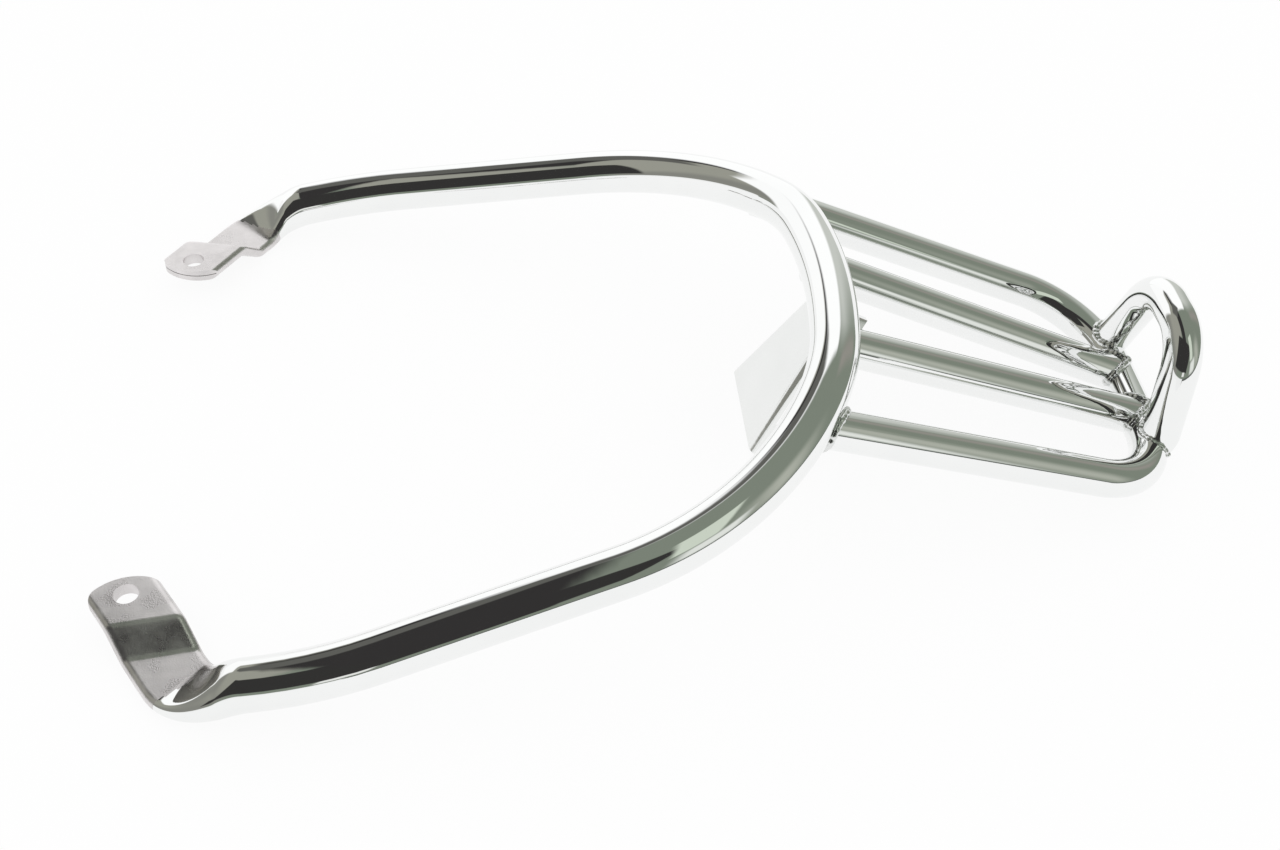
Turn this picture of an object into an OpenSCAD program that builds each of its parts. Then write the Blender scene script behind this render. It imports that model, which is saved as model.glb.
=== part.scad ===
// Chromed luggage rack for the back of a motorcycle, as one welded tube frame.
// A large hoop runs round the seat and ends in two flattened, joggled tabs.
// A smaller U-shaped carrier falls away behind it, with two inner bars between
// its sides and an upright bail at its rear end.
// +X is rearward, +Y is the right-hand side of the machine, +Z is up, and the
// rack stands as it lies on a table: on its flattened front and its rear run.

/* [Tubes] */
// Outside diameter of the hoop tube
hoop_d = 22; // [20:0.5:25]
// Outside diameter of the carrier, bar and bail tubes
bar_d = 18; // [14:0.5:19]

/* [Hoop bends] */
// Bend radius of the crown at the rear of the hoop
crown_r = 230; // [200:5:260]
// Half of the angle that the crown turns through
crown_a = 10; // [8:0.5:12]
// Bend radius between the crown and each side
corner_r = 88; // [80:1:100]
// Angle of that bend
corner_a = 20.5; // [18:0.5:23]
// Fall of the crown's own plane towards the front
crown_tilt = 29.5; // [27:0.5:33]
// Turn of the bending plane before the side bend
side_roll = 21; // [19:0.5:23]
// Bend radius of each side
side_r = 139; // [125:1:150]
// Angle of the side bend
side_a = 50; // [47:0.5:53]
// Straight length of each side
side_len = 99; // [80:1:120]
// Bend radius of the slow turn inward in front of it
ease_r = 200; // [180:5:220]
// Angle of that turn
ease_a = 18.5; // [15:0.5:21]
// Bend radius of the quick turn into each tab
front_r = 30; // [26:1:33]
// Angle between a tab and the centre line of the machine
tab_toe = 57; // [50:1:62]

/* [Flattened tabs] */
// Width of the flattened tube
tab_w = 29.5; // [27:0.5:31]
// Thickness of the flattened tube, which is both of its walls
tab_t = 6; // [4.5:0.25:7]
// Distance from the end of the bend to the tab's hole
tab_reach = 40; // [39:0.5:44]
// Diameter of the hole in each tab
tab_hole_d = 10.5; // [8.5:0.25:12]
// Height of the joggle between the two flat lengths
joggle_h = 10; // [4:0.5:12]
// Distance from the hole back to the upper crease
joggle_near = 17; // [16:0.5:18]
// Run of the sloping length between the two creases
joggle_run = 12; // [10:0.5:13]
// Slant of the creases across the strip
crease_slant = 24; // [10:1:28]
// Length over which the round tube is pressed flat
press_len = 34; // [28:1:36]
// Radius of the tab's tip
tip_r = 22; // [20:0.5:25]
// How far the tip's centre lies behind the hole's
tip_back = 12; // [10:0.5:13]
// How far it lies to the front of the tab's own centre line
tip_side = 4.5; // [0:0.5:5]
// Radius of the tip's front corner
tip_corner_r = 7; // [5:0.5:8]

/* [Carrier] */
// Distance from the hoop's crown to the carrier's rear run
carrier_len = 163; // [140:1:190]
// Distance between the carrier's sides at the hoop
carrier_front_w = 161.5; // [146:0.5:168]
// Distance between the carrier's sides, carried on to the rear run
carrier_rear_w = 130; // [118:1:138]
// Bend radius of the carrier's rear corners
carrier_corner_r = 45; // [36:1:48]
// How far the carrier meets the hoop below its centre
carrier_under = 3.5; // [0:0.5:5]
// Distance between the inner bars at the hoop
bars_front_w = 56.5; // [46:0.5:60]
// Distance between the inner bars at the rear run
bars_rear_w = 31; // [28:1:40]
// How far the inner bars meet the hoop below its centre
bars_under = 13.5; // [9:0.5:15]

/* [Bail] */
// Distance between the bail's feet
bail_foot_w = 77; // [66:1:84]
// Distance between its legs, carried on to the top run
bail_top_w = 42; // [36:1:50]
// Height of the top run's centre
bail_h = 63.5; // [56:0.5:76]
// How far the top run stands behind the feet
bail_lean = 6; // [2:0.5:9]
// How far the feet stand behind the middle of the tube below them
bail_foot_back = 4.3; // [2:0.1:5]
// Bend radius of the bail's two corners
bail_r = 24; // [19:0.5:26]

/* [Rear bracket] */
// Thickness of the bracket's sheet
plate_t = 3; // [2:0.25:4]
// Width of the bracket where it leaves the hoop
plate_top_w = 28; // [24:1:34]
// Width of the bracket at its lower edge
plate_low_w = 60; // [50:1:66]
// Height of the lower edge
plate_low_z = 6; // [4:0.5:12]
// How far the lower edge stands in front of the crown's centre
plate_fwd = 31; // [26:1:36]
// How far the upper edge stands behind it
plate_back = 6; // [2:0.5:7]
// Depth of the two folded sides
flange_deep = 14; // [11:0.5:17]
// Radius of the lower corners
plate_corner_r = 6; // [4:0.5:8]
// Width of the slot through both sides
slot_w = 6; // [4:0.25:6.5]
// Length of that slot
slot_len = 20; // [14:0.5:24]

/* [Welds] */
// Width of a weld bead's leg on each tube
bead_w = 3; // [2:0.25:4]

/* [Hidden] */
$fn = 64;
chrome = "silver";
satin = "darkgray";
hoop_r = hoop_d / 2;
bar_r = bar_d / 2;
up = [0, 0, 1];
bead_gap = 0.15;

// A frame is a point on a tube's centre line, the direction of travel and the
// normal of the plane that the next bend lies in.
function unit(v) = v / norm(v);
function turned(v, k, a) = v * cos(a) + cross(k, v) * sin(a) + k * (k * v) * (1 - cos(a));
function go(f, l) = [f[0] + f[1] * l, f[1], f[2]];
function rolled(f, a) = [f[0], f[1], turned(f[2], f[1], a)];
function pivot(f, r) = f[0] + cross(f[2], f[1]) * r;
function bent(f, r, a) =
    let (c = pivot(f, r)) [c + turned(f[0] - c, f[2], a), turned(f[1], f[2], a), f[2]];
function lifted(f, h) = [f[0] + [0, 0, h], f[1], f[2]];

// The hoop's frames, first with its crown at height nought.
tab_dir = [-cos(tab_toe), -sin(tab_toe), 0];
h_crown = [[0, 0, 0], [0, 1, 0], [-sin(crown_tilt), 0, cos(crown_tilt)]];
h_corner = bent(h_crown, crown_r, crown_a);
h_side = rolled(bent(h_corner, corner_r, corner_a), side_roll);
h_straight = bent(h_side, side_r, side_a);
h_end = go(h_straight, side_len);
front_a = acos(h_end[1] * tab_dir) - ease_a;
h_ease = [h_end[0], h_end[1], unit(cross(h_end[1], tab_dir))];
h_front = bent(h_ease, ease_r, ease_a);
h_tab = bent(h_front, front_r, front_a);

// The flattened front lies on the table, which settles the crown's height.
crown_z = hoop_r - h_tab[0][2];
f_crown = lifted(h_crown, crown_z);
f_corner = lifted(h_corner, crown_z);
f_side = lifted(h_side, crown_z);
f_straight = lifted(h_straight, crown_z);
f_ease = lifted(h_ease, crown_z);
f_front = lifted(h_front, crown_z);
f_tab = lifted(h_tab, crown_z);
hole_at = f_tab[0] + tab_dir * tab_reach;

// The press starts in the slow turn and is done just before the tab.
quick_len = front_a / 180 * PI * front_r;
press_from = max(press_len + 4, quick_len + 2);
round_a = ease_a - (press_from - quick_len) / ease_r * 180 / PI;
function before_tab(l) = l < quick_len
    ? bent(f_front, front_r, front_a - l / front_r * 180 / PI)
    : bent(f_ease, ease_r, ease_a - (l - quick_len) / ease_r * 180 / PI);

// The tip's arc and its rounded front corner, on the right-hand tab.
tab_front = [-sin(tab_toe), cos(tab_toe), 0];
tip_at = hole_at - tab_dir * tip_back + tab_front * tip_side;
corner_side = tab_w / 2 - tip_corner_r;
corner_on = sqrt(pow(tip_r - tip_corner_r, 2) - pow(corner_side - tip_side, 2)) - tip_back;
corner_at = hole_at + tab_dir * corner_on + tab_front * corner_side;

// Where the hoop's centre line is at a given distance from the middle.
rear_path = concat(
    [for (k = [0:9]) bent(f_crown, crown_r, crown_a * k / 10)[0]],
    [for (k = [0:9]) bent(f_corner, corner_r, corner_a * k / 10)[0]],
    [for (k = [0:20]) bent(f_side, side_r, side_a * k / 20)[0]]);
function hoop_x(y) = lookup(y, [for (p = rear_path) [p[1], p[0]]]);
function hoop_z(y) = lookup(y, [for (p = rear_path) [p[1], p[2]]]);
function on_hoop(y) = [hoop_x(y), y, hoop_z(y)];
function hoop_way(y) = unit(on_hoop(y + 1) - on_hoop(y - 1));

// The carrier: its rear run lies on the table, its sides climb to the hoop.
rear_at = [carrier_len, 0, bar_r];
side_front = on_hoop(carrier_front_w / 2) - [0, 0, carrier_under];
side_back = [carrier_len, carrier_rear_w / 2, bar_r];
side_dir = unit(side_front - side_back);
corner_turn = acos(side_dir[1]);
corner_cut = carrier_corner_r * tan(corner_turn / 2);
c_run = [[carrier_len, side_back[1] - corner_cut, bar_r], [0, 1, 0],
    unit(cross([0, 1, 0], side_dir))];
c_side = bent(c_run, carrier_corner_r, corner_turn);
c_len = norm(side_front - c_side[0]);
bar_front = on_hoop(bars_front_w / 2) - [0, 0, bars_under];
bar_back = [carrier_len, bars_rear_w / 2, bar_r];

// The bail: feet on the rear run, legs leaning in and back to a short top run.
foot_a = asin(max(0, bail_foot_w / 2 - c_run[0][1]) / carrier_corner_r);
below_foot = [carrier_len - carrier_corner_r * (1 - cos(foot_a)), bail_foot_w / 2, bar_r];
foot_at = below_foot + [bail_foot_back, 0, 0];
knee_at = [foot_at[0] + bail_lean, bail_top_w / 2, bail_h];
leg_dir = unit(knee_at - foot_at);
knee_turn = acos(leg_dir * [0, -1, 0]);
b_leg = [foot_at, leg_dir, unit(cross(leg_dir, [0, -1, 0]))];
leg_len = norm(knee_at - foot_at) - bail_r * tan(knee_turn / 2);
b_knee = go(b_leg, leg_len);
b_top = bent(b_knee, bail_r, knee_turn);

// The row's origin is below the middle of the whole rack.
front_x = corner_at[0] - tip_corner_r;
back_x = knee_at[0] + bar_r;
shift_x = -(front_x + back_x) / 2;

// The rear bracket hangs from the crown and leans forward as it falls.
plate_head = [plate_back, 0, crown_z - hoop_r + 3];
plate_foot = [-plate_fwd, 0, plate_low_z];
plate_len = norm(plate_foot - plate_head);
plate_lean = atan2(plate_head[2] - plate_foot[2], plate_fwd + plate_back);
flare = atan2((plate_low_w - plate_top_w) / 2, plate_len);

module placed(f) {
    x = cross(f[1], f[2]);
    multmatrix([
        [x[0], f[1][0], f[2][0], f[0][0]],
        [x[1], f[1][1], f[2][1], f[0][1]],
        [x[2], f[1][2], f[2][2], f[0][2]],
        [0, 0, 0, 1]])
        children();
}

module straight_tube(f, l, d) {
    placed(f) rotate([-90, 0, 0]) cylinder(h = l, d = d);
}

module bent_tube(f, r, a, d) {
    placed(f) translate([-r, 0, 0]) rotate_extrude(angle = a) translate([r, 0]) circle(d = d);
}

module both_sides() {
    children();
    mirror([0, 1, 0]) children();
}

// A narrow band just proud of the tube closes each joint between its runs.
module band(f, d) {
    placed(f) rotate([-90, 0, 0]) translate([0, 0, -0.5]) cylinder(h = 1, d = d + 0.1);
}

// A straight tube from one point to another.
module tube_between(p, q, d) {
    v = unit(q - p);
    straight_tube([p, v, unit(cross(v, up))], norm(q - p), d);
}

// The round part of the hoop, on both sides of the centre plane.
module hoop_tube(d) {
    placed(f_crown) translate([-crown_r, 0, 0]) rotate([0, 0, -crown_a])
        rotate_extrude(angle = 2 * crown_a) translate([crown_r, 0]) circle(d = d);
    both_sides() {
        bent_tube(f_corner, corner_r, corner_a, d);
        bent_tube(f_side, side_r, side_a, d);
        band(f_corner, d);
        band(f_side, d);
    }
}

// One section of the pressed tube: half width a and half height b.
function section(a, b) =
    let (m = max(a - b, 0.1))
    concat(
        [for (k = [0:8]) [m + b * cos(k * 11.25), b * sin(k * 11.25)]],
        [for (k = [8:16]) [-m + b * cos(k * 11.25), b * sin(k * 11.25)]],
        [for (k = [16:24]) [-m + b * cos(k * 11.25), b * sin(k * 11.25)]],
        [for (k = [24:32]) [m + b * cos(k * 11.25), b * sin(k * 11.25)]]);
function eased(u) = u <= 0 ? 0 : u >= 1 ? 1 : u * u * (3 - 2 * u);

// A ring of the pressed tube. Its underside stays level with the round tube's.
function ring(f, flat, slant, rise) =
    let (
        a = hoop_r + (tab_w / 2 - hoop_r) * flat,
        b = hoop_r + (tab_t / 2 - hoop_r) * flat,
        s = unit(cross(f[1], up)),
        n = cross(s, f[1]),
        c = f[0] - n * (hoop_r - b) + up * rise)
    [for (q = section(a, b)) c + s * q[0] + n * q[1] + f[1] * (q[0] * tan(slant))];

// The pressed end: a round ring, the press, the bend, two creases and the tab.
joggle_far = min(joggle_near + joggle_run, tab_reach - 3.5 - tab_w / 2 * tan(crease_slant));
strip_len = tab_reach + tip_r;
press_rings = [for (k = [0:16]) let (l = press_from * (1 - k / 16))
    ring(before_tab(l), eased((press_from - l) / (press_from - 4)), 0, 0)];
strip_steps = [
    [tab_reach - joggle_far - 2.5, 0], [tab_reach - joggle_far - 1, 0.02],
    [tab_reach - joggle_far + 1, 0.1], [tab_reach - joggle_near - 1, 0.9],
    [tab_reach - joggle_near + 1, 0.98], [tab_reach - joggle_near + 2.5, 1],
    [strip_len, 1]];
strip_rings = [for (q = strip_steps) ring(go(f_tab, q[0]), 1, crease_slant, joggle_h * q[1])];
end_rings = concat(press_rings, strip_rings);
per_ring = len(end_rings[0]);

module pressed_end() {
    rows = len(end_rings);
    pts = [for (r = end_rings) for (p = r) p];
    walls = [for (i = [0:rows - 2]) for (j = [0:per_ring - 1])
        let (a = i * per_ring + j, b = i * per_ring + (j + 1) % per_ring)
        each [[a, b, b + per_ring], [a, b + per_ring, a + per_ring]]];
    head = [for (j = [per_ring - 1:-1:0]) j];
    tail = [for (j = [0:per_ring - 1]) (rows - 1) * per_ring + j];
    difference() {
        polyhedron(points = pts, faces = concat([head], walls, [tail]), convexity = 6);
        tab_round();
        translate([hole_at[0], hole_at[1], -1]) cylinder(h = 40, d = tab_hole_d);
    }
}

// What is cut away to give the tab its rounded tip.
module tab_round() {
    translate([hole_at[0], hole_at[1], -2]) rotate([0, 0, 180 + tab_toe]) mirror([0, 1, 0])
        linear_extrude(40) {
            difference() {
                translate([-2.2, -40]) square([70, 80]);
                translate([-tip_back, tip_side]) circle(r = tip_r);
            }
            difference() {
                translate([corner_on, corner_side]) polygon([[0, 0], [0, 30], [40, 30],
                    [40, 40 * (corner_side - tip_side) / (corner_on + tip_back)]]);
                translate([corner_on, corner_side]) circle(r = tip_corner_r);
            }
        }
}

module hoop() {
    color(chrome) translate([shift_x, 0, 0]) {
        hoop_tube(hoop_d);
        both_sides() {
            straight_tube(f_straight, side_len, hoop_d);
            bent_tube(f_ease, ease_r, round_a, hoop_d);
            band(f_straight, hoop_d);
            band(f_ease, hoop_d);
            band(before_tab(press_from), hoop_d);
            pressed_end();
        }
    }
}

module carrier_tube(d) {
    translate([carrier_len, -c_run[0][1], bar_r]) rotate([-90, 0, 0])
        cylinder(h = 2 * c_run[0][1], d = d);
    both_sides() {
        bent_tube(c_run, carrier_corner_r, corner_turn, d);
        straight_tube(c_side, c_len, d);
        band(c_run, d);
        band(c_side, d);
    }
}

// What lies past the hoop's centre line at each of the carrier's ends.
side_stop = [on_hoop(carrier_front_w / 2), unit(side_dir - hoop_way(carrier_front_w / 2)
    * (side_dir * hoop_way(carrier_front_w / 2))), hoop_way(carrier_front_w / 2)];

// The carrier's ends are coped to the hoop.
module carrier_loop() {
    color(chrome) translate([shift_x, 0, 0]) difference() {
        carrier_tube(bar_d);
        hoop_tube(hoop_d);
        both_sides() placed(side_stop) translate([-30, -6, -30]) cube(60);
    }
}

// An inner bar, coped to the hoop in front and to the rear run behind.
module inner_bar(side) {
    color(chrome) translate([shift_x, 0, 0]) difference() {
        scale([1, side, 1]) tube_between(bar_front, bar_back + (bar_front - bar_back) / 300, bar_d);
        hoop_tube(hoop_d);
        carrier_tube(bar_d);
    }
}

module left_bar() {
    inner_bar(-1);
}

module right_bar() {
    inner_bar(1);
}

// A foot's overhang is cut off at a slant, up from the back of the tube below.
module foot_slant() {
    translate(below_foot) rotate([0, 0, foot_a])
        translate([bar_r - 0.8, 0, bar_r * 0.4]) rotate([0, -50, 0])
            translate([-6, -20, -30]) cube([40, 40, 30]);
}

// The bail's feet are coped to the rear run.
module bail() {
    color(chrome) translate([shift_x, 0, 0]) difference() {
        union() {
            translate([b_top[0][0], -b_top[0][1], b_top[0][2]]) rotate([-90, 0, 0])
                cylinder(h = 2 * b_top[0][1], d = bar_d);
            both_sides() {
                straight_tube(b_leg, leg_len, bar_d);
                bent_tube(b_knee, bail_r, knee_turn, bar_d);
                band(b_knee, bar_d);
                band(b_top, bar_d);
            }
        }
        carrier_tube(bar_d);
        both_sides() foot_slant();
    }
}

// Outline of the bracket's face, with its two lower corners rounded.
module plate_outline() {
    r = plate_corner_r;
    w = plate_low_w / 2;
    t = plate_top_w / 2;
    polygon([[-t, 0], [t, 0], [w - flare / 90, plate_len - r], [w - r, plate_len],
        [r - w, plate_len], [flare / 90 - w, plate_len - r]]);
    for (s = [-1, 1])
        translate([s * (w - r - 0.6), plate_len - r]) circle(r = r);
}

// One folded side, with a rounded lower corner.
module flange_outline() {
    r = plate_corner_r;
    square([plate_len - r, flange_deep]);
    square([plate_len, flange_deep - r]);
    translate([plate_len - r, flange_deep - r]) circle(r = r);
}

// A weld follows the line where a tube runs into another one. A joint is the
// tube's start, its direction, a point on the other tube, that tube's own
// direction and its radius. It runs from the top down both sides, as far as the
// tubes touch or to a given angle.
function square_to(v) = unit(up - v * (up * v));
function round_tube(v, a) = square_to(v) * cos(a) + cross(v, square_to(v)) * sin(a);
function across(j, v) = v - j[3] * (v * j[3]);
function off_axis(j, a) = across(j, j[0] + round_tube(j[1], a) * bar_r - j[2]);
function room(j, a) =
    let (w = off_axis(j, a), m = across(j, j[1]), b = w * m)
    b * b - (m * m) * (w * w - j[4] * j[4]);
function meets_at(j, a) =
    let (m = across(j, j[1]), b = off_axis(j, a) * m)
    j[0] + round_tube(j[1], a) * bar_r - j[1] * ((b + sqrt(max(room(j, a), 0))) / (m * m));
function reach(j, step, a = 0) =
    abs(a) >= 172 || room(j, a + step) < 0 ? a : reach(j, step, a + step);

// One section of a bead, whose two legs lie along the two tubes' surfaces.
function weld_ring(j, a, w) =
    let (
        t = unit(meets_at(j, a + 1) - meets_at(j, a - 1)),
        e = round_tube(j[1], a),
        m = unit(across(j, meets_at(j, a) - j[2])),
        p = unit(cross(t, e)),
        q = unit(cross(t, m)),
        along = p * (p * j[1] < 0 ? 1 : -1),
        away = q * (q * (e + j[1] * 0.3) > 0 ? 1 : -1),
        proud = unit(e + m) * w * 0.45,
        c = meets_at(j, a) + (e + m) * bead_gap)
    [c, c + along * w, c + along * w * 0.7 + proud, c + away * w * 0.7 + proud, c + away * w];

module weld(j, most = 172) {
    first = max(reach(j, -4), -most);
    last = min(reach(j, 4), most);
    count = 28;
    rings = [for (k = [0:count]) weld_ring(j, first + (last - first) * k / count,
        bead_w * (k > 0 && k < count ? 1 : 0.6))];
    walls = [for (i = [0:count - 1]) for (k = [0:4])
        let (a = i * 5 + k, b = i * 5 + (k + 1) % 5) each [[a, b, a + 5], [b, b + 5, a + 5]]];
    polyhedron(points = [for (r = rings) for (p = r) p],
        faces = concat(walls, [[4, 3, 2, 1, 0]], [[for (k = [0:4]) count * 5 + k]]),
        convexity = 6);
}

side_joint = [side_back, side_dir, on_hoop(carrier_front_w / 2), hoop_way(carrier_front_w / 2),
    hoop_r];
front_joint = [bar_back, unit(bar_front - bar_back), on_hoop(bars_front_w / 2),
    hoop_way(bars_front_w / 2), hoop_r];
rear_joint = [bar_front, unit(bar_back - bar_front), bar_back, [0, 1, 0], bar_r];
foot_joint = [knee_at, -leg_dir, below_foot, [-sin(foot_a), cos(foot_a), 0], bar_r];

module carrier_welds() {
    color(satin) translate([shift_x, 0, 0]) both_sides() weld(side_joint);
}

module bar_welds() {
    color(satin) translate([shift_x, 0, 0]) both_sides() {
        weld(front_joint);
        weld(rear_joint, 104);
    }
}

// The feet stand where the tube below them bends, so it is taken off their beads.
module bail_welds() {
    color(satin) translate([shift_x, 0, 0]) both_sides() difference() {
        weld(foot_joint);
        bent_tube(c_run, carrier_corner_r, corner_turn, bar_d + 2 * bead_gap);
    }
}

module rear_bracket() {
    color(satin) translate([shift_x, 0, 0]) difference() {
        translate(plate_head) rotate([0, 180 - plate_lean, 0]) {
            rotate([0, 0, -90]) linear_extrude(plate_t) plate_outline();
            both_sides() translate([0, plate_top_w / 2 - plate_t, 0]) rotate([90, 0, flare])
                mirror([0, 0, 1]) linear_extrude(plate_t) flange_outline();
        }
        hoop_tube(hoop_d);
        cross_slot();
    }
}

// The slot runs across the rack through both folded sides.
module cross_slot() {
    mid = plate_head + (plate_foot - plate_head) * 0.68;
    l = (slot_len - slot_w) / 2;
    w = plate_low_w;
    translate(mid) rotate([0, 180 - plate_lean, 0]) translate([0, 0, plate_t + 0.5 + slot_w / 2])
        for (k = [-1, 1]) {
            translate([k * l, w, 0]) rotate([90, 0, 0]) cylinder(h = 2 * w, d = slot_w);
            translate([-l, -w, -slot_w / 2]) cube([2 * l, 2 * w, slot_w]);
        }
}

hoop();
carrier_loop();
left_bar();
right_bar();
bail();
rear_bracket();
carrier_welds();
bar_welds();
bail_welds();
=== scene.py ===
import bpy
import bmesh
from math import acos, asin, atan2, cos, degrees, pi, radians, sin, sqrt, tan
from mathutils import Matrix, Quaternion, Vector


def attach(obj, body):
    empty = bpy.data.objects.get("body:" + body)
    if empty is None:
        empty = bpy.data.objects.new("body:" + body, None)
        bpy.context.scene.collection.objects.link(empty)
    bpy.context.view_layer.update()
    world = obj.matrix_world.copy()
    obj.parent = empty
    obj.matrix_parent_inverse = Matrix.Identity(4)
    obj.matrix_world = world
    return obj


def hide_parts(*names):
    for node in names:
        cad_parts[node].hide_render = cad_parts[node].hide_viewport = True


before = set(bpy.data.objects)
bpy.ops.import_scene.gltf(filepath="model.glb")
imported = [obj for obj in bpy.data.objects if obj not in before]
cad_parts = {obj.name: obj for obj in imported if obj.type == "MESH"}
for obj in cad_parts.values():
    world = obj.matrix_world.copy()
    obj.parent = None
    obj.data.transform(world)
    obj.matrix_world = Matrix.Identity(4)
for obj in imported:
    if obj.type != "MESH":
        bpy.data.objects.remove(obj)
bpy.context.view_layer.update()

mm = 0.001
up = Vector((0, 0, 1))
scene = bpy.context.scene
scene.view_settings.view_transform = "Standard"
print("frame loaded:", ", ".join(sorted(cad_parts)))


# camera
cameraSet = {
    "place": (-0.08107, -0.52175, 0.50591),
    "right": (0.99503, -0.08695, 0.04856),
    "down": (-0.02583, -0.69624, -0.71734),
    "lens": 42.1875,  # 1500 px of focal length over a picture 1280 px wide
}
cameraData = bpy.data.cameras.new("photoCamera")
cameraData.lens = cameraSet["lens"]
cameraData.sensor_width = 36
cameraData.clip_start = 0.01
camera = bpy.data.objects.new("photoCamera", cameraData)
scene.collection.objects.link(camera)
cameraX = Vector(cameraSet["right"]).normalized()
cameraY = -Vector(cameraSet["down"]).normalized()
cameraTurn = Matrix((cameraX, cameraY, cameraX.cross(cameraY))).transposed().to_4x4()
camera.matrix_world = Matrix.Translation(cameraSet["place"]) @ cameraTurn
scene.camera = camera
print("camera set")


# how a tube runs: a point, its way and the normal of its next bend
class Run:
    def __init__(self, at, way, normal):
        self.at = Vector(at)
        self.way = Vector(way).normalized()
        self.normal = Vector(normal).normalized()

    def ahead(self, length):
        return Run(self.at + self.way * length, self.way, self.normal)

    def rolled(self, angle):
        return Run(self.at, self.way, Quaternion(self.way, radians(angle)) @ self.normal)

    def pivot(self, radius):
        return self.at + self.normal.cross(self.way) * radius

    def bent(self, radius, angle):
        turn = Quaternion(self.normal, radians(angle))
        middle = self.pivot(radius)
        return Run(middle + turn @ (self.at - middle), turn @ self.way, self.normal)

    def moved(self, x, z):
        return Run(self.at + Vector((x, 0, z)), self.way, self.normal)


def angleBetween(a, b):
    return degrees(acos(max(-1, min(1, a.normalized().dot(b.normalized())))))


# modelling helpers
def nothingSelected():
    if bpy.context.object and bpy.context.object.mode != "OBJECT":
        bpy.ops.object.mode_set(mode="OBJECT")
    bpy.ops.object.select_all(action="DESELECT")


def onlySelected(piece):
    nothingSelected()
    piece.select_set(True)
    bpy.context.view_layer.objects.active = piece


def newPiece(name):
    piece = bpy.context.object
    piece.name = name
    piece.data.name = name
    bpy.ops.object.transform_apply(location=True, rotation=True, scale=True)
    return piece


def editAll(piece):
    onlySelected(piece)
    bpy.ops.object.mode_set(mode="EDIT")
    bpy.ops.mesh.select_mode(type="VERT")
    bpy.ops.mesh.select_all(action="SELECT")


def objectMode():
    bpy.ops.object.mode_set(mode="OBJECT")


def startTube(name, run, radius, sides=64):
    nothingSelected()
    turn = up.rotation_difference(run.way).to_euler()
    bpy.ops.mesh.primitive_circle_add(vertices=sides, radius=radius, location=run.at, rotation=turn)
    piece = newPiece(name)
    editAll(piece)
    return piece


def runStraight(run, length):
    step = run.way * length
    bpy.ops.mesh.extrude_region_move(TRANSFORM_OT_translate={"value": step})
    return run.ahead(length)


def runBend(run, radius, angle, steps):
    bpy.ops.mesh.spin(steps=steps, dupli=False, angle=-radians(angle),
                      center=run.pivot(radius), axis=run.normal)
    return run.bent(radius, angle)


def endClosed():
    bpy.ops.mesh.edge_face_add()


def mirroredAcross(piece):
    onlySelected(piece)
    mirror = piece.modifiers.new("otherSide", "MIRROR")
    mirror.use_axis = (False, True, False)
    mirror.use_mirror_merge = True
    mirror.merge_threshold = 0.00002
    bpy.ops.object.modifier_apply(modifier=mirror.name)
    cleaned(piece)


def cleaned(piece):
    editAll(piece)
    bpy.ops.mesh.remove_doubles(threshold=0.000005)
    bpy.ops.mesh.normals_make_consistent(inside=False)
    objectMode()


def cutBy(piece, cutter, keepCutter=False):
    onlySelected(piece)
    cut = piece.modifiers.new("cut", "BOOLEAN")
    cut.operation = "DIFFERENCE"
    cut.solver = "EXACT"
    cut.object = cutter
    bpy.ops.object.modifier_apply(modifier=cut.name)
    if not keepCutter:
        bpy.data.objects.remove(cutter, do_unlink=True)


def smoothed(piece, angle=35):
    onlySelected(piece)
    bpy.ops.object.shade_smooth_by_angle(angle=radians(angle))


def finishedPiece(piece, node, material):
    if material:
        piece.data.materials.clear()
        piece.data.materials.append(material)
    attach(piece, "root")
    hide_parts(node)


# finishes
def addNode(tree, kind, **values):
    made = tree.nodes.new(kind)
    for name, value in values.items():
        if hasattr(made, name):
            setattr(made, name, value)
        else:
            made.inputs[name.replace("_", " ")].default_value = value
    return made


def plating(name, look):
    material = bpy.data.materials.new(name)
    material.use_nodes = True
    tree = material.node_tree
    shader = tree.nodes["Principled BSDF"]
    shader.inputs["Metallic"].default_value = 1.0
    place = addNode(tree, "ShaderNodeTexCoord")
    cloud = addNode(tree, "ShaderNodeTexNoise", Scale=look["cloudScale"], Detail=3.0)
    grain = addNode(tree, "ShaderNodeTexNoise", Scale=look["grainScale"], Detail=2.0)
    tree.links.new(place.outputs["Object"], cloud.inputs["Vector"])
    tree.links.new(place.outputs["Object"], grain.inputs["Vector"])
    tint = addNode(tree, "ShaderNodeMix", data_type="RGBA")
    tint.inputs["A"].default_value = (*look["dark"], 1)
    tint.inputs["B"].default_value = (*look["light"], 1)
    tree.links.new(cloud.outputs["Fac"], tint.inputs["Factor"])
    tree.links.new(tint.outputs["Result"], shader.inputs["Base Color"])
    rough = addNode(tree, "ShaderNodeMapRange")
    rough.inputs["From Min"].default_value = 0.3
    rough.inputs["From Max"].default_value = 0.7
    rough.inputs["To Min"].default_value = look["rough"][0]
    rough.inputs["To Max"].default_value = look["rough"][1]
    tree.links.new(cloud.outputs["Fac"], rough.inputs["Value"])
    tree.links.new(rough.outputs["Result"], shader.inputs["Roughness"])
    bump = addNode(tree, "ShaderNodeBump", Strength=look["bump"], Distance=look["bumpDepth"])
    tree.links.new(grain.outputs["Fac"], bump.inputs["Height"])
    tree.links.new(bump.outputs["Normal"], shader.inputs["Normal"])
    return material


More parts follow.
